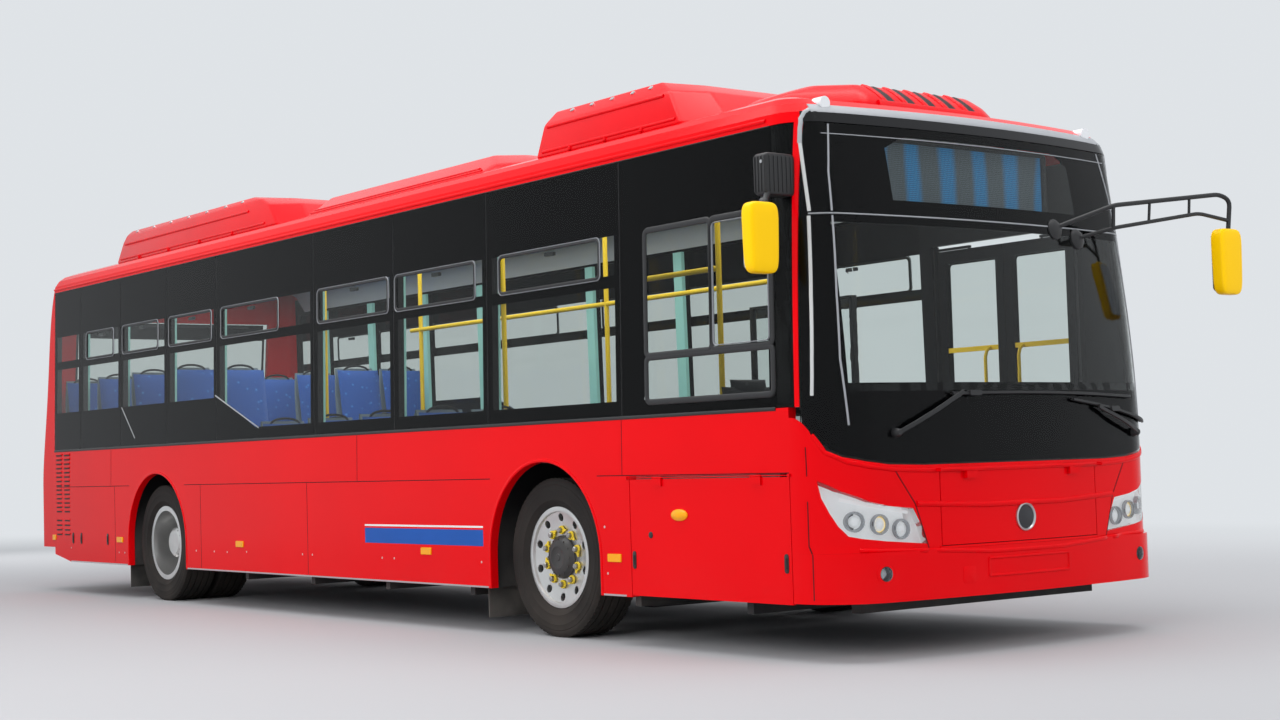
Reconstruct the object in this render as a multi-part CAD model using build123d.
from build123d import *
import math
import os

# City bus, single deck, right-hand drive, millimetres.
# +X is forward, +Y is left, +Z is up. The origin is on the ground, at the middle of the
# length, on the centre line.

# Driving sizes of the whole vehicle
WHEELBASE = 5550.0
FRONT_OVERHANG = 2620.0
REAR_OVERHANG = 2680.0
BODY_WIDTH = 2550.0
SKIRT_Z = 275.0
WAIST_Z = 1272.0
CANT_Z = 2714.0
TUMBLE_Z = 960.0
TUMBLEHOME = 30.0
ROOF_Z = 2880.0
WALL = 50.0
GLASS = 8.0
JOINT_GAP = 6.0
RUN_GAP = 5.0
FIT = 0.05
SEAT_GAP = 0.3

LENGTH = WHEELBASE + FRONT_OVERHANG + REAR_OVERHANG
NOSE_X = LENGTH / 2
TAIL_X = -LENGTH / 2
FRONT_AXLE_X = NOSE_X - FRONT_OVERHANG
REAR_AXLE_X = FRONT_AXLE_X - WHEELBASE
HALF = BODY_WIDTH / 2
INNER = HALF - WALL

# Wheels and axles
TYRE_R = 470.0
TYRE_W = 276.0
RIM_R = 286.0
BEAD_W = 190.0
WHEEL_Z = TYRE_R
FRONT_TRACK_Y = HALF - 223
REAR_TRACK_Y = HALF - 354
TWIN_PITCH = 310.0
KINGPIN_Y = HALF - 405
KINGPIN_R = 20.0
SPINDLE_R = 45.0
HUB_R = 60.0
ARCH_R = 565.0
STEER_ARM = 180.0
STEER_ROD_Z = 195.0

# Floor and frame
FLOOR_Z = 340.0
STEP_Z = 590.0
REAR_FLOOR_Z = 840.0
STEP_X = REAR_AXLE_X + 1245
REAR_FLOOR_X = REAR_AXLE_X + 695
DECK = 40.0
RAIL_Y = 415.0
RAIL_W = 70.0
RAIL_H = 80.0
CROSS_W = 50.0
HOUSE_TOP_Z = 1030.0
HOUSE_T = 20.0
AXLE_SLOT = 110.0
FRONT_HOUSE_Y = HALF - 795
FRONT_HOUSE_HALF = 635.0
REAR_HOUSE_Y = HALF - 685
REAR_HOUSE_HALF = 600.0
FRAME_NOSE_X = NOSE_X - 415
FRAME_TAIL_X = TAIL_X + 465
NOSE_BEAM_TOP_Z = 480.0
TOW_Y = -450.0
TOW_Z = 400.0
TOW_BORE_R = 20.0
TOW_BORE_LENGTH = 150.0
TOW_HATCH = 40.0



def corner_start(face_x, half_width, corner_r, arc_r):
    """Where the corner of an end outline leaves the straight side."""
    corner_y = half_width - corner_r
    return face_x - arc_r + math.sqrt((arc_r - corner_r) ** 2 - corner_y ** 2)


# Nose: plan arcs, and the seams between the side pieces and the nose pieces
NOSE_ARC_R = 7100.0
NOSE_FACE_X = NOSE_X - 25.0
NOSE_CORNER_R = 340.0
CANT_NOSE_X = NOSE_FACE_X - 208
CANT_CORNER_R = 190.0
LOW_SEAM_X = corner_start(NOSE_FACE_X, HALF, NOSE_CORNER_R, NOSE_ARC_R) - 5
HIGH_SEAM_X = corner_start(CANT_NOSE_X, HALF - TUMBLEHOME, CANT_CORNER_R, NOSE_ARC_R) - 21
STRIP_X = HIGH_SEAM_X + 135
SCREEN_X = HIGH_SEAM_X + 165
ROOF_SEAM_X = HIGH_SEAM_X - 200
LAMP_REAR_X = NOSE_X - 305
BUMPER_SEAM_Y = HALF - 585
BUMPER_Z = 540.0
BUMPER_FOOT_Z = 292.0
NOSE_SHELL = 40.0
SCREEN_FOOT_Z = 965.0
DISPLAY_Z = 2240.0

# Tail
TAIL_ARC_R = 9000.0
TAIL_CORNER_R = 90.0
CANT_TAIL_X = TAIL_X + 262
TAIL_SEAM_X = 8 - corner_start(-CANT_TAIL_X, HALF - TUMBLEHOME, TAIL_CORNER_R, TAIL_ARC_R)
TAIL_FOOT_Z = 400.0
REAR_BUMPER_T = 58.0
ROOF_TAIL_SEAM_X = TAIL_SEAM_X + 190
TAIL_WINDOW_HALF = HALF - 295
TAIL_WINDOW_FOOT_Z = 1500.0
TAIL_WINDOW_TOP_Z = 2480.0

# Passenger door on the left, ahead of the front wheel
DOOR_MID_X = FRONT_AXLE_X + 1445
DOOR_Y = HALF - 53
DOOR_TOP_Z = 2330.0
LEAF_GUIDE = 560.0
LEAF_NEAR = 30.0
LEAF_FAR = 570.0
LEAF_T = 40.0
LEAF_FOOT_Z = 370.0
LEAF_TOP_Z = 2290.0
LEAF_STILE = 62.0
MEETING_GAP = 8.0
POST_R = 18.0
POST_JOURNAL_R = 10.0
POST_MARGIN = 25.0
ARM_T = 14.0
ARM_W = 30.0
ARM_PIN_R = 7.0
DOOR_SPAN = 2 * LEAF_FAR + MEETING_GAP
DOOR_REAR_X = DOOR_MID_X - DOOR_SPAN / 2 - POST_MARGIN
DOOR_FRONT_X = DOOR_MID_X + DOOR_SPAN / 2 + POST_MARGIN

# Passenger seats
SEAT_W = 430.0
SEAT_YS = (HALF - 725, HALF - 285)
STAND_YS = (HALF - 835, HALF - 235)
HOUSE_STAND_YS = (HALF - 635, HALF - 235)
SEAT_ROWS = 4
REAR_SEAT_PITCH = 750.0

# Lids and their outside rod hinges
LID_T = 20.0
LID_REACH = 225.0
HINGE_ROD_R = 2.5
HINGE_TUBE_R = 5.0
HINGE_OUT = 6.0
HINGE_DROP = 8.0
FLAP_REAR_X = FRONT_AXLE_X + 860
FLAP_TOP_Z = 925.0
FLAP_FOOT_Z = 285.0
NOSE_LID_HALF = HALF - 675
NOSE_LID_TOP_Z = 930.0
NOSE_LID_FOOT_Z = 556.0
TAIL_LID_HALF = HALF - 425
TAIL_LID_TOP_Z = 1150.0
TAIL_LID_FOOT_Z = 560.0

# Heights and radii of the nose from the waist to the cant rail: (z, nose x, corner radius)
SCREEN_SECTIONS = [
    (TUMBLE_Z, NOSE_FACE_X, NOSE_CORNER_R),
    (1400.0, NOSE_FACE_X - 21, 308.0),
    (1900.0, NOSE_FACE_X - 75, 268.0),
    (2350.0, NOSE_FACE_X - 142, 230.0),
    (CANT_Z, CANT_NOSE_X, CANT_CORNER_R),
]

ROOF_FLAT = HALF - 165

# Roof edge, from the cant rail up: (z, half width, dome nose x, dome corner radius, tail x,
# tail corner radius)
ROOF_SECTIONS = [
    (CANT_Z, HALF - TUMBLEHOME, CANT_NOSE_X, CANT_CORNER_R, CANT_TAIL_X, TAIL_CORNER_R),
    (2770.0, HALF - 34, NOSE_FACE_X - 235, 180.0, TAIL_X + 285, 84.0),
    (2820.0, HALF - 60, NOSE_FACE_X - 280, 160.0, TAIL_X + 320, 78.0),
    (2855.0, HALF - 100, NOSE_FACE_X - 340, 130.0, TAIL_X + 365, 72.0),
    (ROOF_Z, ROOF_FLAT, NOSE_FACE_X - 440, 90.0, TAIL_X + 430, 66.0),
]

# Tail rake: (z, tail x)
TAIL_SECTIONS = [
    (TUMBLE_Z, TAIL_X),
    (1325.0, TAIL_X + 33),
    (1748.0, TAIL_X + 99),
    (2481.0, TAIL_X + 190),
    (CANT_Z, CANT_TAIL_X),
]

# Joints between the side panes, from tail to nose
REAR_SILL_END_X = REAR_AXLE_X + 1145
PANE_JOINTS_X = [
    TAIL_SEAM_X, REAR_AXLE_X - 1621, REAR_AXLE_X - 730, REAR_AXLE_X + 219, REAR_SILL_END_X,
    FRONT_AXLE_X - 2820, FRONT_AXLE_X - 1702, FRONT_AXLE_X - 569, FRONT_AXLE_X + 798,
]

# Tubes of the left mirror's ladder arm: (points from root to tip, radius), each point as
# (ahead of the nose, out from the side, z)
MIRROR_TUBES = [
    ([(-235, -715, 2255), (-5, -472, 2358), (115, 325, 2452), (137, 393, 2420),
      (137, 365, 2180)], 13.0),
    ([(-235, -575, 2180), (-5, -480, 2232), (103, 145, 2334), (137, 380, 2300)], 11.0),
    ([(-5, -472, 2358), (-5, -480, 2232)], 10.0),
    ([(35, -205, 2389), (35, -220, 2274)], 8.0),
    ([(80, 95, 2425), (80, 85, 2322)], 8.0),
]

# Window frames behind the side panes
PILLAR_HALF = 55.0
WINDOW_FOOT_Z = WAIST_Z + 90
REAR_WINDOW_FOOT_Z = WAIST_Z + 300
WINDOW_TOP_Z = CANT_Z - 150
MEMBER_GAP = 0.3

# Roof housings: (rear end x, front end x, levels). Each level is (height over the roof, rear
# set in, rear corner in from the roof flat's edge, side start, side in, side end, front set
# in, front corner in)
HOUSINGS = {
    "roof_unit_front": (NOSE_X - 1193, NOSE_X - 575, [
        (0.0, 0.0, 250.0, 58.0, 150.0, 350.0, 0.0, 630.0),
        (80.0, 8.0, 330.0, 78.0, 230.0, 310.0, 50.0, 630.0),
        (165.0, 48.0, 570.0, 128.0, 500.0, 290.0, 150.0, 680.0),
    ]),
    "roof_housing_mid": (FRONT_AXLE_X - 210, FRONT_AXLE_X + 1419, [
        (0.0, 0.0, 70.0, 5.0, 0.0, 214.0, 0.0, 160.0),
        (210.0, 7.0, 110.0, 15.0, 58.0, 374.0, 274.0, 280.0),
        (295.0, 45.0, 180.0, 60.0, 125.0, 534.0, 484.0, 410.0),
    ]),
    "roof_fairing": (REAR_AXLE_X + 2145, FRONT_AXLE_X - 575, [
        (0.0, 0.0, 310.0, 186.0, 10.0, 230.0, 0.0, 310.0),
        (65.0, 0.0, 330.0, 180.0, 110.0, 270.0, 30.0, 330.0),
        (170.0, 10.0, 410.0, 150.0, 260.0, 490.0, 380.0, 460.0),
    ]),
    "roof_housing_rear": (REAR_AXLE_X - 1135, REAR_AXLE_X + 2145, [
        (0.0, 0.0, 70.0, 8.0, 0.0, 230.0, 0.0, 160.0),
        (180.0, 5.0, 110.0, 15.0, 55.0, 460.0, 300.0, 260.0),
        (250.0, 20.0, 130.0, 30.0, 85.0, 650.0, 520.0, 330.0),
        (290.0, 55.0, 180.0, 65.0, 125.0, 860.0, 780.0, 410.0),
    ]),
}
TROUGH_HALF = ROOF_FLAT - 470
TROUGH_DROP = 32.0
TROUGH_SETBACK = 60.0
TROUGH_REAR = 150.0


def box(x0, x1, y0, y1, z0, z1):
    """Box between two corners."""
    centre = Pos((x0 + x1) / 2, (y0 + y1) / 2, (z0 + z1) / 2)
    return centre * Box(x1 - x0, y1 - y0, z1 - z0)


def prism_x(points, x0, x1):
    """Outline in (y, z), run from x0 to x1."""
    plane = Plane(origin=(x0, 0, 0), x_dir=(0, 1, 0), z_dir=(1, 0, 0))
    return extrude(plane * make_face(Polyline(*points, close=True)), amount=x1 - x0)


def prism_y(points, y0, y1):
    """Outline in (x, z), run from y0 to y1."""
    plane = Plane(origin=(0, y1, 0), x_dir=(1, 0, 0), z_dir=(0, -1, 0))
    return extrude(plane * make_face(Polyline(*points, close=True)), amount=y1 - y0)


def rod(start, end, radius):
    """Round bar between two points."""
    start = Vector(*start)
    run = Vector(*end) - start
    plane = Plane(origin=start, z_dir=run.normalized())
    return plane * Cylinder(radius, run.length, align=(Align.CENTER, Align.CENTER, Align.MIN))


def left_of(shape):
    """The same piece on the other side of the bus."""
    return mirror(shape, about=Plane.XZ)


def side_y(z):
    """Half width of the body's outside at height z."""
    if z <= TUMBLE_Z:
        return HALF
    return HALF - TUMBLEHOME * (z - TUMBLE_Z) / (CANT_Z - TUMBLE_Z)


def slab(z0, z1, outer, inner, x0, x1):
    """Right-hand stretch of the side between two insets and two heights."""
    heights = [z0] + [z for z in (TUMBLE_Z,) if z0 < z < z1] + [z1]
    outside = [(-side_y(z) + outer, z) for z in heights]
    inside = [(-side_y(z) + inner, z) for z in reversed(heights)]
    return prism_x(outside + inside, x0, x1)


def end_outline(face_x, half_width, corner_r, arc_r, back_x, inset, z):
    """Plan outline of a nose (face_x > back_x) or a tail, with arcs, inset evenly."""
    way = 1.0 if face_x > back_x else -1.0
    corner_y = half_width - corner_r
    arc_x = face_x * way - arc_r
    corner_x = corner_start(face_x * way, half_width, corner_r, arc_r)
    tangent = math.atan2(corner_y, corner_x - arc_x)
    middle = (tangent + math.pi / 2) / 2
    big = arc_r - inset
    small = corner_r - inset
    ends = (back_x * way, half_width - inset)
    side = (corner_x, half_width - inset)
    bend = (corner_x + small * math.cos(middle), corner_y + small * math.sin(middle))
    start = (arc_x + big * math.cos(tangent), big * math.sin(tangent))
    tip = (arc_x + big, 0.0)
    points = [ends, side, bend, start, tip]
    left = [(x * way, y, z) for x, y in points]
    right = [(x * way, -y, z) for x, y in points]
    edges = [
        Line(right[0], right[1]),
        ThreePointArc(right[1], right[2], right[3]),
        ThreePointArc(right[3], right[4], left[3]),
        ThreePointArc(left[3], left[2], left[1]),
        Line(left[1], left[0]),
        Line(left[0], right[0]),
    ]
    return make_face(edges)


def nose_low(face_x, inset, z0, z1, back_x):
    """Upright lower stretch of the nose."""
    outline = end_outline(face_x, HALF, NOSE_CORNER_R, NOSE_ARC_R, back_x, inset, z0)
    return extrude(outline, amount=z1 - z0, dir=(0, 0, 1))


def nose_high(inset):
    """Leaning stretch of the nose, from the lower body to the cant rail."""
    faces = []
    for z, face_x, corner_r in SCREEN_SECTIONS:
        faces.append(end_outline(face_x, side_y(z), corner_r, NOSE_ARC_R, HIGH_SEAM_X, inset, z))
    return loft(faces)


def tail_low(inset, z0, z1):
    """Upright lower stretch of the tail."""
    outline = end_outline(TAIL_X, HALF, TAIL_CORNER_R, TAIL_ARC_R, TAIL_SEAM_X, inset, z0)
    return extrude(outline, amount=z1 - z0, dir=(0, 0, 1))


def tail_high(inset):
    """Raked upper stretch of the tail."""
    faces = []
    for z, face_x in TAIL_SECTIONS:
        outline = end_outline(face_x, side_y(z), TAIL_CORNER_R, TAIL_ARC_R, TAIL_SEAM_X, inset, z)
        faces.append(outline)
    return loft(faces)


def arch_cut(axle_x):
    """Opening of a wheel arch, through both sides."""
    disc = rod((axle_x, -HALF - 20, WHEEL_Z), (axle_x, HALF + 20, WHEEL_Z), ARCH_R)
    foot = box(axle_x - ARCH_R, axle_x + ARCH_R, -HALF - 20, HALF + 20, 0, WHEEL_Z)
    return disc + foot


def hinge_rod(start, end, wall):
    """Fixed hinge rod on two end blocks that stand on the outside of a wall."""
    start = Vector(*start)
    end = Vector(*end)
    run = (end - start).normalized()
    bar = rod(tuple(start - run * 8), tuple(end + run * 8), HINGE_ROD_R)
    blocks = []
    for point in (start - run * 12, end + run * 12):
        blocks.append(Pos(*tuple(point)) * Box(14, 14, 16) - wall)
    return bar + blocks[0] + blocks[1]


def hinge_tube(start, end):
    """Moving hinge tube around the rod."""
    tube = rod(start, end, HINGE_TUBE_R)
    bore = rod(start, end, HINGE_ROD_R + FIT)
    return tube, bore


def seat_solid(x, y, floor_z, width):
    """One cushion and back in one upholstered piece, facing forward."""
    outline = [
        (x, floor_z + 380),
        (x + 430, floor_z + 400),
        (x + 450, floor_z + 440),
        (x + 430, floor_z + 470),
        (x + 90, floor_z + 450),
        (x - 20, floor_z + 1060),
        (x - 60, floor_z + 1075),
        (x - 90, floor_z + 1050),
    ]
    return prism_y(outline, y - width / 2, y + width / 2)


def build_side_panels():
    """Lower side panels with the wheel arches, the flap opening and the doorway."""
    right = slab(SKIRT_Z, WAIST_Z, 0, WALL, TAIL_SEAM_X, LOW_SEAM_X)
    rise_x = REAR_AXLE_X - 1855
    tail_rise = prism_y(
        [(TAIL_SEAM_X - 10, 200), (rise_x, 200), (rise_x, SKIRT_Z), (TAIL_SEAM_X - 10, 338)],
        -HALF - 10, HALF + 10)
    arches = arch_cut(FRONT_AXLE_X) + arch_cut(REAR_AXLE_X)
    right = right - tail_rise - arches
    left = left_of(right)
    flap_hole = box(FLAP_REAR_X - JOINT_GAP, LOW_SEAM_X + 1, -HALF - 5, -INNER + 5,
                    200, FLAP_TOP_Z + 16)
    right = right - flap_hole
    doorway = box(DOOR_REAR_X, DOOR_FRONT_X, INNER - 20, HALF + 20, FLOOR_Z, WAIST_Z + 10)
    sill = box(DOOR_REAR_X, DOOR_FRONT_X, INNER - 20, HALF - 25, 200, FLOOR_Z + 1)
    left = left - doorway - sill
    return [right, left]


def build_side_frames():
    """Structure behind the side glass: waist rail, pillars and cant rail, as separate members."""
    def member(x0, x1, z0, z1):
        return slab(z0 + MEMBER_GAP, z1, GLASS, WALL, x0, x1)

    joints = PANE_JOINTS_X[1:]
    rear_end = REAR_SILL_END_X + PILLAR_HALF
    shared = [
        member(TAIL_SEAM_X, rear_end, WINDOW_FOOT_Z, REAR_WINDOW_FOOT_Z),
        member(TAIL_SEAM_X, TAIL_SEAM_X + PILLAR_HALF, REAR_WINDOW_FOOT_Z, WINDOW_TOP_Z),
        member(TAIL_SEAM_X, HIGH_SEAM_X, WINDOW_TOP_Z, CANT_Z),
    ]
    for x in joints[:-1]:
        foot = REAR_WINDOW_FOOT_Z if x <= REAR_SILL_END_X else WINDOW_FOOT_Z
        shared.append(member(x - PILLAR_HALF, x + PILLAR_HALF, foot, WINDOW_TOP_Z))
    x = joints[-1]
    right = shared + [
        member(TAIL_SEAM_X, HIGH_SEAM_X, WAIST_Z, WINDOW_FOOT_Z),
        member(x - PILLAR_HALF, x + PILLAR_HALF, WINDOW_FOOT_Z, WINDOW_TOP_Z),
        member(HIGH_SEAM_X - PILLAR_HALF, HIGH_SEAM_X, WINDOW_FOOT_Z, WINDOW_TOP_Z),
    ]
    header = member(x - PILLAR_HALF, HIGH_SEAM_X, DOOR_TOP_Z, WINDOW_TOP_Z)
    left = shared + [
        member(TAIL_SEAM_X, DOOR_REAR_X, WAIST_Z, WINDOW_FOOT_Z),
        member(x - PILLAR_HALF, DOOR_REAR_X, WINDOW_FOOT_Z, DOOR_TOP_Z),
        member(DOOR_FRONT_X, HIGH_SEAM_X, WAIST_Z, DOOR_TOP_Z),
    ]
    header = left_of(header)
    for x in (DOOR_REAR_X + POST_MARGIN, DOOR_FRONT_X - POST_MARGIN):
        header -= rod((x, DOOR_Y, DOOR_TOP_Z - 1), (x, DOOR_Y, DOOR_TOP_Z + 36),
                      POST_JOURNAL_R + FIT)
    return right + [left_of(piece) for piece in left] + [header]


def build_side_glass():
    """Flush side panes, bonded outside the window frames."""
    panes = []
    foot = WAIST_Z + 4
    top = CANT_Z - 4
    for x0, x1 in zip(PANE_JOINTS_X[:-1], PANE_JOINTS_X[1:]):
        pane = slab(foot, top, 0, GLASS, x0 + JOINT_GAP / 2, x1 - JOINT_GAP / 2)
        panes += [pane, left_of(pane)]
    driver = slab(foot, top, 0, GLASS, PANE_JOINTS_X[-1] + JOINT_GAP / 2, HIGH_SEAM_X - 3)
    header = slab(DOOR_TOP_Z, top, 0, GLASS, DOOR_REAR_X, DOOR_FRONT_X)
    panes += [driver, left_of(header)]
    quarter = (nose_high(0) - nose_high(GLASS)) & box(
        HIGH_SEAM_X + 1, STRIP_X - 2, -HALF, HALF, foot, top)
    panes += quarter.solids()
    return panes


def build_corner_strips():
    """Painted strips on the corner pillars, between side glass and windscreen."""
    shell = nose_high(0) - nose_high(GLASS)
    band = box(STRIP_X, SCREEN_X, -HALF, HALF, WAIST_Z, CANT_Z)
    return (shell & band).solids()


def roof_outline(inset):
    """Cross-section of the roof, over both cant rails."""
    half = [(row[1] - inset, row[0] - (0 if row[0] == CANT_Z else inset)) for row in ROOF_SECTIONS]
    return half + [(-y, z) for y, z in reversed(half)]


def roof_end(column, arc_r, seam_x):
    """Front dome (column 2) or rear cap (column 4) of the roof, hollowed from below."""
    faces = []
    for row in ROOF_SECTIONS:
        z, half, face_x, corner_r = row[0], row[1], row[column], row[column + 1]
        faces.append(end_outline(face_x, half, corner_r, arc_r, seam_x, 0, z))
    cavity = []
    for row, inset in ((ROOF_SECTIONS[0], WALL), (ROOF_SECTIONS[2], WALL)):
        z, half, face_x, corner_r = row[0], row[1], row[column], row[column + 1]
        cavity.append(end_outline(face_x, half, corner_r, arc_r, seam_x, inset, z))
    return loft(faces, ruled=True) - loft(cavity, ruled=True)


def build_roof():
    """Roof shell with its front dome and rear cap."""
    skin = prism_x(roof_outline(0), ROOF_TAIL_SEAM_X, ROOF_SEAM_X)
    skin -= prism_x(roof_outline(WALL), ROOF_TAIL_SEAM_X - 1, ROOF_SEAM_X + 1)
    dome = roof_end(2, NOSE_ARC_R, ROOF_SEAM_X)
    cap = roof_end(4, TAIL_ARC_R, ROOF_TAIL_SEAM_X)
    return [skin + dome + cap]


def screen_foot():
    """Region above the curved lower edge of the windscreen."""
    half = [(HALF - 575, SCREEN_FOOT_Z), (HALF - 350, SCREEN_FOOT_Z + 8), (HALF - 216, 992.0),
            (HALF - 108, 1018.0), (HALF - 51, 1060.0), (HALF - 32, 1104.0), (HALF - 24, 1150.0),
            (HALF + 10, WAIST_Z)]
    points = [(-y, z) for y, z in reversed(half)] + half
    points += [(HALF + 10, CANT_Z + 50), (-HALF - 10, CANT_Z + 50)]
    return prism_x(points, HIGH_SEAM_X - 10, NOSE_X + 50)


def nose_shell(inset, thickness):
    """Whole nose skin between two insets, from the bumper top to the cant rail."""
    low = nose_low(NOSE_FACE_X, inset, BUMPER_Z, TUMBLE_Z, HIGH_SEAM_X)
    low -= nose_low(NOSE_FACE_X, inset + thickness, BUMPER_Z, TUMBLE_Z, HIGH_SEAM_X)
    high = nose_high(inset) - nose_high(inset + thickness)
    return low, high


def build_windscreen():
    """Curved windscreen and the display glass above it."""
    low, high = nose_shell(0, GLASS)
    region = screen_foot()
    front = box(SCREEN_X + 3, NOSE_X, -HALF, HALF, SCREEN_FOOT_Z - 10, DISPLAY_Z - 3)
    screen = (high & front) & region
    upper = box(SCREEN_X + 3, NOSE_X, -HALF, HALF, DISPLAY_Z + 3, CANT_Z - 4)
    return screen.solids() + (high & upper).solids()


def build_front_frame():
    """Pillars, header and scuttle behind the windscreen."""
    shell = nose_high(GLASS) - nose_high(WALL)
    frame = shell & box(HIGH_SEAM_X, NOSE_X, -HALF, HALF, WAIST_Z, CANT_Z)
    pane_half = HALF - 155
    display_half = HALF - 555
    edge_x = SCREEN_X + 15
    frame -= box(edge_x, NOSE_X, -pane_half, pane_half, WAIST_Z + 110, DISPLAY_Z - 40)
    frame -= box(edge_x, NOSE_X, -display_half, display_half, DISPLAY_Z + 70, CANT_Z - 40)
    return frame.solids()


def lamp_volume():
    """Openings of the two head lamps in the mask."""
    outline = [
        (575, 570), (310, 594), (189, 610), (130, 624), (94, 674), (68, 738), (46, 814),
        (36, 902), (108, 846), (235, 790), (343, 766), (492, 750), (542, 662),
    ]
    left = prism_x([(HALF - y, z) for y, z in outline], LAMP_REAR_X, NOSE_X)
    return left + left_of(left)


def build_front_mask():
    """Painted mask between the bumper and the windscreen."""
    low, high = nose_shell(0, NOSE_SHELL)
    band = nose_high(0) - nose_high(NOSE_SHELL)
    keep = box(LOW_SEAM_X, NOSE_X, -HALF - 1, HALF + 1, BUMPER_Z, WAIST_Z)
    mask = (low + band) & keep
    mask -= screen_foot()
    lid_hole = box(NOSE_X - LID_REACH, NOSE_X, -NOSE_LID_HALF - JOINT_GAP, NOSE_LID_HALF + JOINT_GAP,
                   BUMPER_Z - 1, NOSE_LID_TOP_Z + 14)
    mask = mask - lid_hole - lamp_volume()
    return mask.solids()


def build_head_lamps():
    """Head lamp units set in the mask."""
    unit = nose_low(NOSE_FACE_X, 2, BUMPER_Z, TUMBLE_Z, HIGH_SEAM_X)
    unit -= nose_low(NOSE_FACE_X, NOSE_SHELL + 60, BUMPER_Z, TUMBLE_Z, HIGH_SEAM_X)
    return (unit & lamp_volume()).solids()


def build_bumper():
    """Front bumper in three sections, the middle one with the hatch for the tow bar."""
    skin = nose_low(NOSE_X, 0, BUMPER_FOOT_Z, BUMPER_Z, HIGH_SEAM_X)
    skin -= nose_low(NOSE_X, NOSE_SHELL + 25, BUMPER_FOOT_Z, BUMPER_Z, HIGH_SEAM_X)
    skin = skin & box(LOW_SEAM_X, NOSE_X + 1, -HALF, HALF, BUMPER_FOOT_Z, BUMPER_Z)
    skin -= box(NOSE_X - LID_REACH, NOSE_X + 10, TOW_Y - TOW_HATCH, TOW_Y + TOW_HATCH,
                TOW_Z - TOW_HATCH, TOW_Z + TOW_HATCH)
    for y in (-BUMPER_SEAM_Y, BUMPER_SEAM_Y):
        skin -= box(LOW_SEAM_X, NOSE_X + 1, y - SEAT_GAP / 2, y + SEAT_GAP / 2,
                    BUMPER_FOOT_Z, BUMPER_Z)
    return (skin - fog_volume()).solids()


def fog_volume():
    """Round seats of the fog lamps."""
    seats = None
    for y in (290 - HALF, HALF - 290):
        seat = rod((NOSE_X - 210, y, 433), (NOSE_X + 20, y, 433), 52)
        seats = seat if seats is None else seats + seat
    return seats


def build_fog_lamps():
    """Round fog lamps in the bumper."""
    body = nose_low(NOSE_X, 4, BUMPER_FOOT_Z, BUMPER_Z, HIGH_SEAM_X)
    return (body & fog_volume()).solids()


def build_front_lid():
    """Lid between the head lamps, hung on the hinge rod."""
    shell = nose_low(NOSE_FACE_X, 0, NOSE_LID_FOOT_Z, NOSE_LID_TOP_Z, HIGH_SEAM_X)
    shell -= nose_low(NOSE_FACE_X, LID_T, NOSE_LID_FOOT_Z, NOSE_LID_TOP_Z, HIGH_SEAM_X)
    lid = shell & box(NOSE_X - LID_REACH, NOSE_X, -NOSE_LID_HALF, NOSE_LID_HALF,
                      NOSE_LID_FOOT_Z, NOSE_LID_TOP_Z)
    axis_x = NOSE_FACE_X + HINGE_OUT
    axis_z = NOSE_LID_TOP_Z + HINGE_DROP
    for y in (200 - NOSE_LID_HALF, NOSE_LID_HALF - 200):
        tube, bore = hinge_tube((axis_x, y - 40, axis_z), (axis_x, y + 40, axis_z))
        strap = box(axis_x - 34, axis_x + 5, y - 40, y + 40, NOSE_LID_TOP_Z - 40, NOSE_LID_TOP_Z + 3)
        lid = lid + (strap + tube) - bore
    return lid.solids()


def build_service_flap():
    """Flap ahead of the right front wheel."""
    flap = slab(FLAP_FOOT_Z, FLAP_TOP_Z, 0, LID_T, FLAP_REAR_X, LOW_SEAM_X - RUN_GAP)
    axis_y = -HALF - HINGE_OUT
    axis_z = FLAP_TOP_Z + HINGE_DROP
    for x in (FLAP_REAR_X + 250, LOW_SEAM_X - 255):
        tube, bore = hinge_tube((x - 40, axis_y, axis_z), (x + 40, axis_y, axis_z))
        strap = box(x - 40, x + 40, axis_y - 5, -HALF + 6, FLAP_TOP_Z - 40, FLAP_TOP_Z + 3)
        flap = flap + (strap + tube) - bore
    return flap.solids()


def tail_mid(inset):
    """Whole height of the tail volume."""
    return tail_low(inset, TAIL_FOOT_Z, TUMBLE_Z) + tail_high(inset)


def tail_window():
    """Opening of the rear window."""
    return box(TAIL_X - 10, TAIL_X + 400, -TAIL_WINDOW_HALF, TAIL_WINDOW_HALF,
               TAIL_WINDOW_FOOT_Z, TAIL_WINDOW_TOP_Z)


def build_tail():
    """Rear body shell with the window, lid and lamp openings."""
    shell = tail_mid(0) - tail_mid(WALL)
    shell -= tail_window()
    shell -= box(TAIL_X - 10, TAIL_X + 300, -TAIL_LID_HALF - JOINT_GAP, TAIL_LID_HALF + JOINT_GAP,
                 TAIL_LID_FOOT_Z - JOINT_GAP, TAIL_LID_TOP_Z + 14)
    floor_cut = box(TAIL_X - 10, TAIL_SEAM_X + 10, -INNER, INNER, 380, TAIL_FOOT_Z + 1)
    shell -= floor_cut
    return shell.solids()


def build_tail_glass():
    """Rear window pane in its opening."""
    shell = tail_high(0) - tail_high(GLASS)
    return (shell & tail_window()).solids()


def build_tail_lid():
    """Motor bay lid, hung on the hinge rod."""
    shell = tail_mid(0) - tail_mid(LID_T)
    lid = shell & box(TAIL_X - 5, TAIL_X + 300, -TAIL_LID_HALF, TAIL_LID_HALF,
                      TAIL_LID_FOOT_Z, TAIL_LID_TOP_Z)
    axis_x = TAIL_X - HINGE_OUT
    axis_z = TAIL_LID_TOP_Z + HINGE_DROP
    for y in (250 - TAIL_LID_HALF, TAIL_LID_HALF - 250):
        tube, bore = hinge_tube((axis_x, y - 40, axis_z), (axis_x, y + 40, axis_z))
        strap = box(axis_x - 5, axis_x + 46, y - 40, y + 40, TAIL_LID_TOP_Z - 60, TAIL_LID_TOP_Z + 3)
        lid = lid + (strap + tube) - bore
    return lid.solids()


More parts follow.
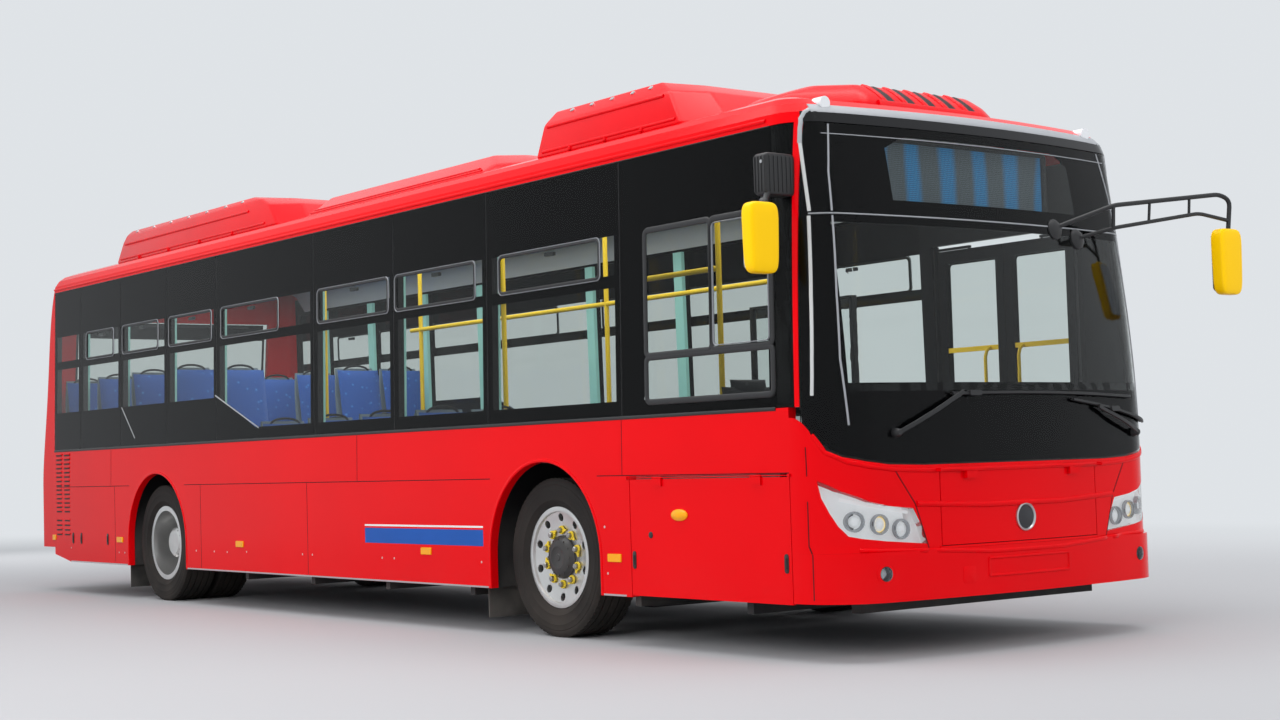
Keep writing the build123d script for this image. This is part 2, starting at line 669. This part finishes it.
def build_rear_bumper():
    """Rubber-faced bumper bar across the tail, below the motor bay lid."""
    bar = end_outline(TAIL_X, HALF, TAIL_CORNER_R, TAIL_ARC_R, TAIL_SEAM_X, -REAR_BUMPER_T, 430)
    bar = extrude(bar, amount=115, dir=(0, 0, 1))
    far = HALF - 275
    near = HALF - 175
    plan = [(TAIL_X - 100, -far), (TAIL_X + 60, -near), (TAIL_X + 60, near), (TAIL_X - 100, far)]
    keep = Pos(0, 0, 400) * extrude(make_face(Polyline(*plan, close=True)), amount=200)
    return ((bar & keep) - tail_low(0, TAIL_FOOT_Z, TUMBLE_Z)).solids()


def build_hinge_rods():
    """Fixed hinge rods of the front lid, the service flap and the motor bay lid."""
    nose = nose_low(NOSE_FACE_X, 0, BUMPER_Z, TUMBLE_Z, HIGH_SEAM_X)
    x = NOSE_FACE_X + HINGE_OUT
    z = NOSE_LID_TOP_Z + HINGE_DROP
    reach = NOSE_LID_HALF + 14
    front = hinge_rod((x, -reach, z), (x, reach, z), nose)
    for side in (-1, 1):
        y = side * (reach + 12)
        front += box(NOSE_FACE_X - 60, x, y - 7, y + 7, z - 8, z + 8) - nose
    y = -HALF - HINGE_OUT
    z = FLAP_TOP_Z + HINGE_DROP
    wall = slab(SKIRT_Z, WAIST_Z, 0, WALL, TAIL_SEAM_X, LOW_SEAM_X + 60)
    flap = hinge_rod((FLAP_REAR_X - 8, y, z), (LOW_SEAM_X - 10, y, z), wall)
    x = TAIL_X - HINGE_OUT
    z = TAIL_LID_TOP_Z + HINGE_DROP
    tail = tail_mid(0)
    reach = TAIL_LID_HALF + 10
    back = hinge_rod((x, -reach, z), (x, reach, z), tail)
    for side in (-1, 1):
        y = side * (reach + 12)
        back += box(x, TAIL_X + 90, y - 7, y + 7, z - 8, z + 8) - tail
    return [front, flap, back]


def build_floor():
    """Stepped floor deck between the walls, cut for the wheelhouses."""
    outline = [
        (LOW_SEAM_X, FLOOR_Z), (STEP_X, FLOOR_Z), (STEP_X, STEP_Z), (REAR_FLOOR_X, STEP_Z),
        (REAR_FLOOR_X, REAR_FLOOR_Z), (TAIL_SEAM_X, REAR_FLOOR_Z),
        (TAIL_SEAM_X, REAR_FLOOR_Z - DECK), (REAR_FLOOR_X - DECK, REAR_FLOOR_Z - DECK),
        (REAR_FLOOR_X - DECK, STEP_Z - DECK), (STEP_X - DECK, STEP_Z - DECK),
        (STEP_X - DECK, FLOOR_Z - DECK), (LOW_SEAM_X, FLOOR_Z - DECK),
    ]
    deck = prism_y(outline, -INNER, INNER)
    deck += box(DOOR_REAR_X, DOOR_FRONT_X, INNER - 5, HALF - 25, FLOOR_Z - DECK, FLOOR_Z)
    for axle_x, half, y0 in ((FRONT_AXLE_X, FRONT_HOUSE_HALF, FRONT_HOUSE_Y),
                             (REAR_AXLE_X, REAR_HOUSE_HALF, REAR_HOUSE_Y)):
        hole = box(axle_x - half, axle_x + half, y0, INNER + 5, 200, REAR_FLOOR_Z + 5)
        deck = deck - hole - left_of(hole)
    for x in (DOOR_REAR_X + POST_MARGIN, DOOR_FRONT_X - POST_MARGIN):
        deck -= rod((x, DOOR_Y, FLOOR_Z - 30), (x, DOOR_Y, FLOOR_Z + 1), POST_JOURNAL_R + FIT)
    return [deck]


def build_wheelhouses():
    """Boxes over the wheels, open below and towards the arch."""
    houses = []
    for axle_x, half, y0 in ((FRONT_AXLE_X, FRONT_HOUSE_HALF, FRONT_HOUSE_Y),
                             (REAR_AXLE_X, REAR_HOUSE_HALF, REAR_HOUSE_Y)):
        house = box(axle_x - half, axle_x + half, y0, INNER - 2, SKIRT_Z, HOUSE_TOP_Z + HOUSE_T)
        house -= box(axle_x - half + HOUSE_T, axle_x + half - HOUSE_T, y0 + HOUSE_T, INNER + 1,
                     SKIRT_Z - 1, HOUSE_TOP_Z)
        house -= box(axle_x - AXLE_SLOT, axle_x + AXLE_SLOT, y0 - 1, y0 + HOUSE_T + 1,
                     SKIRT_Z - 1, WHEEL_Z + AXLE_SLOT)
        houses += [house, left_of(house)]
    return houses


def build_chassis():
    """Rails and cross-members under the floor, with the tow sockets."""
    low_z = FLOOR_Z - DECK - RAIL_H
    mid_z = STEP_Z - DECK - RAIL_H
    high_z = REAR_FLOOR_Z - DECK - RAIL_H
    step_x = STEP_X - DECK
    rise_x = REAR_FLOOR_X - DECK
    top = [(FRAME_NOSE_X, low_z + RAIL_H), (step_x, low_z + RAIL_H), (step_x, mid_z + RAIL_H),
           (rise_x, mid_z + RAIL_H), (rise_x, high_z + RAIL_H), (FRAME_TAIL_X, high_z + RAIL_H)]
    low = [(FRAME_TAIL_X, high_z), (rise_x - RAIL_H, high_z), (rise_x - RAIL_H, mid_z),
           (step_x - RAIL_H, mid_z), (step_x - RAIL_H, low_z), (FRAME_NOSE_X, low_z)]
    rail_in = RAIL_Y - RAIL_W / 2
    rail_out = RAIL_Y + RAIL_W / 2
    rail = prism_y(top + low, rail_in, rail_out)
    members = [rail, left_of(rail)]
    half = CROSS_W / 2
    stations = [(FRONT_AXLE_X + dx, low_z) for dx in (1795, 845, -855, -1905, -2955)]
    stations.append((REAR_AXLE_X + 1545, low_z))
    stations.append((rise_x - half, high_z))
    stations += [(REAR_AXLE_X - dx, high_z) for dx in (755, 1555, 2155)]
    for x, z in stations:
        members.append(box(x - half, x + half, MEMBER_GAP - rail_in, rail_in - MEMBER_GAP,
                           z, z + RAIL_H))
        outer = box(x - half, x + half, rail_out + MEMBER_GAP, INNER, z, z + RAIL_H)
        members += [outer, left_of(outer)]
    beam_x = FRAME_NOSE_X + MEMBER_GAP
    reach = HALF - 375
    beam = box(beam_x, FRAME_NOSE_X + 70, -reach, reach, low_z, NOSE_BEAM_TOP_Z)
    tip = FRAME_NOSE_X + 305
    socket = rod((FRAME_NOSE_X + 70, TOW_Y, TOW_Z), (tip, TOW_Y, TOW_Z), TOW_BORE_R + 12)
    bore = rod((tip - TOW_BORE_LENGTH, TOW_Y, TOW_Z), (tip + 1, TOW_Y, TOW_Z), TOW_BORE_R)
    return members + [beam + socket - bore]


def build_front_axle():
    """Dropped front axle beam with the kingpin eyes."""
    half = [(0, 130), (KINGPIN_Y - 370, 130), (KINGPIN_Y - 70, 420), (KINGPIN_Y - 40, 420),
            (KINGPIN_Y - 40, 520), (KINGPIN_Y - 100, 520), (KINGPIN_Y - 400, 205), (0, 205)]
    arm = prism_x(half, FRONT_AXLE_X - 45, FRONT_AXLE_X + 45)
    eye = rod((FRONT_AXLE_X, KINGPIN_Y, WHEEL_Z - 50), (FRONT_AXLE_X, KINGPIN_Y, WHEEL_Z + 50), 45)
    bore = rod((FRONT_AXLE_X, KINGPIN_Y, WHEEL_Z - 51), (FRONT_AXLE_X, KINGPIN_Y, WHEEL_Z + 51),
               KINGPIN_R + FIT)
    arm = arm + eye - bore
    pad = box(FRONT_AXLE_X - 45, FRONT_AXLE_X + 45, RAIL_Y - RAIL_W / 2, RAIL_Y + RAIL_W / 2,
              200, FLOOR_Z - DECK - RAIL_H)
    arm += pad
    return [arm + left_of(arm)]


def build_knuckle(side):
    """Steering knuckle: yoke, kingpin, spindle and steering arm."""
    x = FRONT_AXLE_X
    lower = rod((x, KINGPIN_Y, WHEEL_Z - 90), (x, KINGPIN_Y, WHEEL_Z - 55), 45)
    upper = rod((x, KINGPIN_Y, WHEEL_Z + 55), (x, KINGPIN_Y, WHEEL_Z + 90), 45)
    pin = rod((x, KINGPIN_Y, WHEEL_Z - 60), (x, KINGPIN_Y, WHEEL_Z + 60), KINGPIN_R)
    web = box(x - 45, x + 45, KINGPIN_Y + 52, KINGPIN_Y + 85, WHEEL_Z - 90, WHEEL_Z + 90)
    low_lug = box(x - 45, x + 45, KINGPIN_Y, KINGPIN_Y + 60, WHEEL_Z - 90, WHEEL_Z - 55)
    high_lug = box(x - 45, x + 45, KINGPIN_Y, KINGPIN_Y + 60, WHEEL_Z + 55, WHEEL_Z + 90)
    spindle = rod((x, KINGPIN_Y + 80, WHEEL_Z), (x, FRONT_TRACK_Y + 60, WHEEL_Z), SPINDLE_R)
    arm = box(x - STEER_ARM - 25, x - 20, KINGPIN_Y - 20, KINGPIN_Y + 20, WHEEL_Z - 90, WHEEL_Z - 70)
    drop = rod((x - STEER_ARM, KINGPIN_Y, STEER_ROD_Z + 21), (x - STEER_ARM, KINGPIN_Y, WHEEL_Z - 80), 20)
    ball = rod((x - STEER_ARM, KINGPIN_Y, STEER_ROD_Z - 20), (x - STEER_ARM, KINGPIN_Y, STEER_ROD_Z + 25), 9)
    knuckle = lower + upper + pin + web + low_lug + high_lug + spindle + arm + drop + ball
    return [knuckle if side > 0 else left_of(knuckle)]


def build_track_rod():
    """Track rod between the two steering arms, with an eye at each end."""
    x = FRONT_AXLE_X - STEER_ARM
    bar = rod((x, -KINGPIN_Y + 20, STEER_ROD_Z), (x, KINGPIN_Y - 20, STEER_ROD_Z), 14)
    for y in (-KINGPIN_Y, KINGPIN_Y):
        bar += rod((x, y, STEER_ROD_Z - 18), (x, y, STEER_ROD_Z + 18), 26)
    bar -= rod((x, -KINGPIN_Y, STEER_ROD_Z - 30), (x, -KINGPIN_Y, STEER_ROD_Z + 30), 9 + FIT)
    bar -= rod((x, KINGPIN_Y, STEER_ROD_Z - 30), (x, KINGPIN_Y, STEER_ROD_Z + 30), 9 + 0.5)
    return [bar]


def build_rear_axle():
    """Rear axle tube with its gear housing, spring arms and spindles."""
    x = REAR_AXLE_X
    root = REAR_TRACK_Y - 321
    tip = REAR_TRACK_Y + 139
    tube = rod((x, -root, WHEEL_Z), (x, root, WHEEL_Z), 75)
    tube += rod((x, -tip, WHEEL_Z), (x, tip, WHEEL_Z), HUB_R)
    gear = rod((x, -120, WHEEL_Z), (x, 120, WHEEL_Z), 190)
    axle = tube + gear
    for y in (-RAIL_Y, RAIL_Y):
        axle += box(x - 480, x + 480, y - 40, y + 40, WHEEL_Z - 60, WHEEL_Z + 30)
    return [axle]


def build_air_springs():
    """Rear air springs between the axle arms and the rails."""
    springs = []
    top = REAR_FLOOR_Z - DECK - RAIL_H
    for dx in (-400, 400):
        for y in (-RAIL_Y, RAIL_Y):
            base = (REAR_AXLE_X + dx, y, WHEEL_Z + 30)
            springs.append(rod(base, (REAR_AXLE_X + dx, y, top), 120))
    return springs


def build_drive_motor():
    """Drive motor ahead of the power pack, hung from the rails."""
    face_x = REAR_AXLE_X - 585
    body = rod((face_x - 670, 0, 480), (face_x, 0, 480), 230)
    body += rod((face_x - 10, 0, 480), (REAR_AXLE_X - 195, 0, 480), 45)
    for x in (face_x - 170, face_x - 570):
        body += box(x - 40, x + 40, -RAIL_Y - 30, RAIL_Y + 30, 560, REAR_FLOOR_Z - DECK - RAIL_H)
    return [body]


def build_power_pack():
    """Power electronics and cooler pack in the motor bay, as one block."""
    half = HALF - 395
    return [box(TAIL_X + 245, REAR_AXLE_X - 1505, -half, half, 420, REAR_FLOOR_Z - DECK - RAIL_H)]


def tyre_solid(y_mid):
    """One tyre, turned about its axle."""
    crown = TYRE_W / 2 - 22
    wide = TYRE_W / 2
    profile = [
        (-BEAD_W / 2, RIM_R), (-BEAD_W / 2 - 6, RIM_R + 17), (-wide + 6, RIM_R + 58),
        (-wide, RIM_R + 100), (-crown - 6, TYRE_R - 16), (-crown + 14, TYRE_R),
        (crown - 14, TYRE_R), (crown + 6, TYRE_R - 16), (wide, RIM_R + 100),
        (wide - 6, RIM_R + 58), (BEAD_W / 2 + 6, RIM_R + 17), (BEAD_W / 2, RIM_R),
    ]
    plane = Plane(origin=(0, 0, 0), x_dir=(0, 1, 0), z_dir=(1, 0, 0))
    ring = revolve(plane * make_face(Polyline(*profile, close=True)), axis=Axis.Y)
    return Pos(0, y_mid, 0) * ring


def turned(points, axis_shift):
    """Ring turned about the axle from (y, r) points."""
    plane = Plane(origin=(0, 0, 0), x_dir=(0, 1, 0), z_dir=(1, 0, 0))
    ring = revolve(plane * make_face(Polyline(*points, close=True)), axis=Axis.Y)
    return Pos(0, axis_shift, 0) * ring


def rim_barrel(shift):
    """Barrel of a rim with its two flanges."""
    seat = RIM_R - SEAT_GAP
    profile = [(-112, 262), (112, 262), (112, 300), (104, 300), (104, seat), (-104, seat),
               (-104, 300), (-112, 300)]
    return turned(profile, shift)


def front_rim():
    """Front wheel, outboard towards +Y, with its hub and ten hand holes."""
    barrel = rim_barrel(0)
    disc = turned([(60, SPINDLE_R + 1), (60, 150), (80, 265), (96, 265), (78, 150), (78, SPINDLE_R + 1)], 0)
    hub = turned([(-30, SPINDLE_R + FIT), (-30, 85), (110, 85), (110, 60), (80, 60), (80, 0), (62, 0),
                  (62, SPINDLE_R + FIT)], 0)
    rim = barrel + disc + hub
    for index in range(10):
        angle = math.radians(36 * index + 18)
        x = 195 * math.cos(angle)
        z = 195 * math.sin(angle)
        rim -= rod((x, 40, z), (x, 120, z), 27)
    return rim


def rear_rim():
    """Rear twin wheel, outboard towards +Y, with its deep dish and hub."""
    rim = None
    for shift in (-TWIN_PITCH / 2, TWIN_PITCH / 2):
        barrel = rim_barrel(shift)
        rim = barrel if rim is None else rim + barrel
    dish = turned([(-45, HUB_R + 1), (-45, 265), (45, 265), (45, 240), (14, 215), (14, HUB_R + 1)], 0)
    hub = turned([(-60, HUB_R + FIT), (-60, 120), (185, 120), (205, 95), (205, 0), (145, 0),
                  (145, HUB_R + FIT)], 0)
    return rim + dish + hub


def build_wheels():
    """All wheels as {node: shapes}."""
    nodes = {}
    for side, name in ((1, "left"), (-1, "right")):
        place = Pos(FRONT_AXLE_X, FRONT_TRACK_Y, WHEEL_Z)
        tyre = place * tyre_solid(0)
        rim = place * front_rim()
        nodes["tyre_front_" + name] = [tyre if side > 0 else left_of(tyre)]
        nodes["rim_front_" + name] = [rim if side > 0 else left_of(rim)]
        place = Pos(REAR_AXLE_X, REAR_TRACK_Y, WHEEL_Z)
        twins = [place * tyre_solid(-TWIN_PITCH / 2), place * tyre_solid(TWIN_PITCH / 2)]
        rim = place * rear_rim()
        nodes["tyre_rear_" + name] = twins if side > 0 else [left_of(t) for t in twins]
        nodes["rim_rear_" + name] = [rim if side > 0 else left_of(rim)]
    return nodes


def build_mud_flaps():
    """Rubber flaps behind the wheels."""
    flaps = []
    y1 = HALF - 35
    for x, y0 in ((FRONT_AXLE_X - FRONT_HOUSE_HALF - 14, HALF - 375),
                  (REAR_AXLE_X - REAR_HOUSE_HALF - 14, HALF - 635)):
        flap = box(x - 8, x, y0, y1, 90, SKIRT_Z) + box(x - 8, x, y0, INNER, SKIRT_Z - 5, 300)
        flaps += [flap, left_of(flap)]
    return flaps


def build_door_post(side):
    """Door post with two arms; side +1 at the rear jamb, -1 at the front jamb."""
    x = DOOR_REAR_X + POST_MARGIN if side > 0 else DOOR_FRONT_X - POST_MARGIN
    reach = x + side * LEAF_GUIDE / 2
    post = rod((x, DOOR_Y, FLOOR_Z + RUN_GAP), (x, DOOR_Y, DOOR_TOP_Z - RUN_GAP), POST_R)
    post += rod((x, DOOR_Y, FLOOR_Z - 25), (x, DOOR_Y, DOOR_TOP_Z + 30), POST_JOURNAL_R)
    low = LEAF_FOOT_Z - JOINT_GAP
    high = LEAF_TOP_Z + JOINT_GAP
    for z0, pin0, pin1 in ((low - ARM_T, low - ARM_T, LEAF_FOOT_Z + 20),
                           (high, LEAF_TOP_Z - 20, high + ARM_T)):
        x0, x1 = min(x, reach), max(x, reach)
        post += box(x0, x1, DOOR_Y - ARM_W / 2, DOOR_Y + ARM_W / 2, z0, z0 + ARM_T)
        post += rod((reach, DOOR_Y, z0), (reach, DOOR_Y, z0 + ARM_T), ARM_W / 2)
        post += rod((reach, DOOR_Y, pin0), (reach, DOOR_Y, pin1), ARM_PIN_R)
    return [post]


def build_door_leaf(side):
    """Door leaf frame and its pane; side as for the post."""
    x = DOOR_REAR_X + POST_MARGIN if side > 0 else DOOR_FRONT_X - POST_MARGIN
    xs = sorted((x + side * LEAF_NEAR, x + side * LEAF_FAR))
    y0 = DOOR_Y - LEAF_T / 2
    y1 = DOOR_Y + LEAF_T / 2
    leaf = box(xs[0], xs[1], y0, y1, LEAF_FOOT_Z, LEAF_TOP_Z)
    hole = box(xs[0] + LEAF_STILE, xs[1] - LEAF_STILE, y0 - 1, y1 + 1,
               LEAF_FOOT_Z + 90, LEAF_TOP_Z - 80)
    leaf -= hole
    pin_x = x + side * LEAF_GUIDE / 2
    leaf -= rod((pin_x, DOOR_Y, LEAF_FOOT_Z - 1), (pin_x, DOOR_Y, LEAF_FOOT_Z + 26), ARM_PIN_R + FIT)
    leaf -= rod((pin_x, DOOR_Y, LEAF_TOP_Z - 26), (pin_x, DOOR_Y, LEAF_TOP_Z + 1), ARM_PIN_R + FIT)
    pane = box(xs[0] + LEAF_STILE, xs[1] - LEAF_STILE, y1 - 14, y1 - 6,
               LEAF_FOOT_Z + 90, LEAF_TOP_Z - 80)
    return [leaf], [pane]


def housing_loft(levels, back, drop):
    """Tapered roof housing through its levels, set back and lowered."""
    faces = []
    for z, outline in levels:
        points = [(x - back, y, z - drop) for x, y in outline]
        faces.append(make_face(Polyline(*points, close=True)))
    return loft(faces, ruled=True)


def housing_levels(rear_x, front_x, rows):
    """Levels of a roof housing as (z, plan outline)."""
    levels = []
    for rise, rear, rear_in, start, side_in, end, front, front_in in rows:
        right = [
            (rear_x + rear, rear_in - ROOF_FLAT), (rear_x + start, side_in - ROOF_FLAT),
            (front_x - end, side_in - ROOF_FLAT), (front_x - front, front_in - ROOF_FLAT),
        ]
        levels.append((ROOF_Z + rise, right + [(x, -y) for x, y in reversed(right)]))
    return levels


def build_housings():
    """Roof housings on the flat of the roof; the two tall ones have a lower middle."""
    nodes = {}
    for name, (rear_x, front_x, rows) in HOUSINGS.items():
        levels = housing_levels(rear_x, front_x, rows)
        housing = housing_loft(levels, 0, 0)
        if name in ("roof_housing_mid", "roof_housing_rear"):
            top_x = front_x - rows[-1][6] - TROUGH_SETBACK
            mouth = ROOF_FLAT - rows[0][7] - 40
            plan = [
                (rear_x + TROUGH_REAR, -TROUGH_HALF), (top_x, -TROUGH_HALF),
                (front_x + 10, -mouth), (front_x + 10, mouth),
                (top_x, TROUGH_HALF), (rear_x + TROUGH_REAR, TROUGH_HALF),
            ]
            trough = Pos(0, 0, ROOF_Z) * extrude(make_face(Polyline(*plan, close=True)), amount=400)
            low = housing_loft(levels, TROUGH_SETBACK, TROUGH_DROP)
            housing = (housing - trough) + (low & trough)
        nodes[name] = housing.solids()
    return nodes


def build_lamps():
    """Marker lamps on the dome, side markers and tail lamps."""
    markers = []
    dome = build_roof()[0]
    dome_z, dome_x = ROOF_SECTIONS[2][0], ROOF_SECTIONS[2][2]
    for y in (256 - HALF, HALF - 256):
        edge_x = dome_x - NOSE_ARC_R + math.sqrt(NOSE_ARC_R ** 2 - y ** 2)
        lamp = rod((edge_x - 46, y, dome_z + 5), (edge_x + 24, y, dome_z + 5), 34) - dome
        markers.append(lamp.solids().sort_by(Axis.X)[-1])
    sides = []
    for x in (REAR_AXLE_X - 750, REAR_AXLE_X + 1533, FRONT_AXLE_X - 1320, FRONT_AXLE_X + 704):
        lamp = box(x - 45, x + 45, -HALF - 8, -HALF, 476, 500)
        sides += [lamp, left_of(lamp)]
    tail = []
    body = tail_low(0, TAIL_FOOT_Z, TUMBLE_Z)
    for z in (620, 760):
        for y in (215 - HALF, HALF - 215):
            lamp = rod((TAIL_X - 14, y, z), (TAIL_X + 60, y, z), 55) - body
            tail.append(lamp.solids().sort_by(Axis.X)[0])
    return markers + sides, tail


def build_mirrors():
    """Mirror arms and heads: bracket on the right, ladder arm on the left."""
    root_x = HIGH_SEAM_X + 50
    right_arm = box(root_x, root_x + 100, -HALF - 145, 75 - HALF, 2330, 2550)
    right_arm -= nose_high(0)
    stalk = rod((root_x + 80, -HALF - 120, 2345), (root_x + 142, -HALF - 215, 2240), 14)
    right = right_arm + stalk
    right_head = Pos(root_x + 150, -HALF - 237, 2104) * Box(80, 180, 350)
    right_head = fillet(right_head.edges().filter_by(Axis.Z), 36) - stalk
    left_arm = None
    for rows, radius in MIRROR_TUBES:
        points = [(NOSE_X + x, HALF + y, z) for x, y, z in rows]
        for start, end in zip(points[:-1], points[1:]):
            tube = rod(start, end, radius)
            knee = Pos(*end) * Sphere(radius)
            left_arm = tube + knee if left_arm is None else left_arm + tube + knee
    left_arm -= nose_high(0)
    left_head = Pos(NOSE_X + 135, HALF + 345, 2062) * Box(80, 190, 374)
    left_head = fillet(left_head.edges().filter_by(Axis.Z), 36)
    left_head -= left_arm
    return [right, left_arm], [right_head, left_head]


def build_wipers():
    """Two wiper arms with blades, parked low on the windscreen."""
    wipers = []
    blade_x = NOSE_FACE_X + 12
    for y0, y1, z0 in ((400 - HALF, 60, 1120), (HALF - 275, 240, 1110)):
        arm = rod((NOSE_FACE_X - 5, y0, z0), (blade_x, y0 + (y1 - y0) * 0.5, z0 + 150), 9)
        blade = rod((blade_x, y0 + (y1 - y0) * 0.1, z0 + 140), (blade_x + 2, y1, z0 + 160), 8)
        hub = rod((NOSE_FACE_X - 110, y0, z0), (blade_x, y0, z0), 20)
        wipers += (arm + blade + hub - nose_high(0)).solids()
    return wipers


def build_interior():
    """Seats, handrails and the driver's place, as {node: shapes}."""
    seats = []
    stands = []
    top_z = HOUSE_TOP_Z + HOUSE_T
    fore_x = FRONT_AXLE_X - 1455
    aft_x = REAR_AXLE_X + 1845
    low_pitch = (fore_x - aft_x) / (SEAT_ROWS - 1)
    rows = [(fore_x - low_pitch * i, FLOOR_Z, FLOOR_Z) for i in range(SEAT_ROWS)]
    high_x = REAR_AXLE_X + 195
    for i, foot_z in enumerate((top_z, top_z, REAR_FLOOR_Z, REAR_FLOOR_Z)):
        rows.append((high_x - REAR_SEAT_PITCH * i, REAR_FLOOR_Z, foot_z))
    for x, floor_z, foot_z in rows:
        for y in SEAT_YS:
            seat = seat_solid(x, y, floor_z, SEAT_W)
            seats += [seat, left_of(seat)]
        y0, y1 = HOUSE_STAND_YS if foot_z == top_z else STAND_YS
        stand = box(x + 120, x + 260, y0, y1, foot_z, floor_z + 385)
        stand -= seats[-2] + seats[-4]
        stands += [stand, left_of(stand)]
    poles = None
    front_pole_x = FRONT_AXLE_X + 695
    rear_pole_x = REAR_AXLE_X + 1395
    mid_pole_x = fore_x - 150
    for x, y in ((front_pole_x, -440), (mid_pole_x, -440), (rear_pole_x + 1050, 440),
                 (mid_pole_x, 440), (rear_pole_x, -440), (rear_pole_x, 440)):
        pole = rod((x, y, FLOOR_Z), (x, y, ROOF_Z - WALL), 17)
        poles = pole if poles is None else poles + pole
    for y in (-440, 440):
        poles += rod((STEP_X, y, 2150), (front_pole_x, y, 2150), 17)
    x = FRONT_AXLE_X + 1345
    y = -HALF + 525
    driver = prism_y([(x, 700), (x + 450, 720), (x + 470, 800), (x + 110, 800), (x + 30, 1450),
                      (x - 70, 1440)], y - 230, y + 230)
    driver += box(x + 80, x + 330, y - 130, y + 130, FLOOR_Z, 705)
    foot_z = NOSE_BEAM_TOP_Z
    back_x = FRAME_NOSE_X - 30
    dash = prism_y([(back_x - 150, FLOOR_Z), (back_x, FLOOR_Z), (back_x, foot_z),
                    (back_x + 130, foot_z), (back_x + 170, 700), (back_x + 170, 930),
                    (back_x - 100, 1000), (back_x - 180, 930)], 275 - HALF, 300)
    wheel_x = back_x - 290
    wheel = Pos(wheel_x, y, 1010) * Rot(0, -25, 0) * Torus(225, 15)
    column = rod((wheel_x, y, 1010), (wheel_x + 170, y, 700), 30) - dash
    hub = Pos(wheel_x, y, 1010) * Rot(0, -25, 0) * Box(40, 430, 20)
    screen = box(FRONT_AXLE_X + 855, FRONT_AXLE_X + 1695, y + 420, y + 440, FLOOR_Z, 1900)
    display = box(FRAME_NOSE_X - 50, FRAME_NOSE_X + 50, 575 - HALF, HALF - 635, 2330, 2680)
    for y in (-500, 440):
        display += box(FRAME_NOSE_X - 20, FRAME_NOSE_X + 20, y - 30, y + 30, 2670,
                       ROOF_SECTIONS[2][0])
    return {
        "seats": seats,
        "seat_stands": stands,
        "handrails": [poles],
        "driver_seat": [driver],
        "dashboard": [dash],
        "steering_wheel": [wheel + column + hub],
        "cab_screen": [screen],
        "display_box": [display],
    }


def build_all():
    """Every node's shapes, by name."""
    nodes = {}
    nodes["side_panels"] = build_side_panels()
    nodes["side_frames"] = build_side_frames()
    nodes["side_glass"] = build_side_glass()
    nodes["corner_strips"] = build_corner_strips()
    nodes["roof_panel"] = build_roof()
    nodes["windscreen"] = build_windscreen()
    nodes["front_frame"] = build_front_frame()
    nodes["front_mask"] = build_front_mask()
    nodes["front_bumper"] = build_bumper()
    nodes["front_lamps"] = build_head_lamps() + build_fog_lamps()
    nodes["front_lid"] = build_front_lid()
    nodes["service_flap"] = build_service_flap()
    nodes["rear_body"] = build_tail()
    nodes["rear_glass"] = build_tail_glass()
    nodes["rear_lid"] = build_tail_lid()
    nodes["hinge_rods"] = build_hinge_rods()
    nodes["rear_bumper"] = build_rear_bumper()
    nodes["floor_deck"] = build_floor()
    nodes["wheelhouses"] = build_wheelhouses()
    nodes["chassis_frame"] = build_chassis()
    nodes["front_axle"] = build_front_axle()
    nodes["knuckle_left"] = build_knuckle(1)
    nodes["knuckle_right"] = build_knuckle(-1)
    nodes["track_rod"] = build_track_rod()
    nodes["rear_axle"] = build_rear_axle()
    nodes["air_springs"] = build_air_springs()
    nodes["drive_motor"] = build_drive_motor()
    nodes["power_pack"] = build_power_pack()
    nodes["mud_flaps"] = build_mud_flaps()
    nodes.update(build_wheels())
    nodes["door_post_rear"] = build_door_post(1)
    nodes["door_post_front"] = build_door_post(-1)
    nodes["door_leaf_rear"], nodes["door_pane_rear"] = build_door_leaf(1)
    nodes["door_leaf_front"], nodes["door_pane_front"] = build_door_leaf(-1)
    nodes.update(build_housings())
    nodes["marker_lamps"], nodes["tail_lamps"] = build_lamps()
    nodes["mirror_arms"], nodes["mirror_heads"] = build_mirrors()
    nodes["wipers"] = build_wipers()
    nodes.update(build_interior())
    return nodes


os.makedirs("parts", exist_ok=True)
for node, shapes in build_all().items():
    solids = [solid for shape in shapes for solid in shape.solids()]
    export_step(Compound(solids), f"parts/{node}.step")
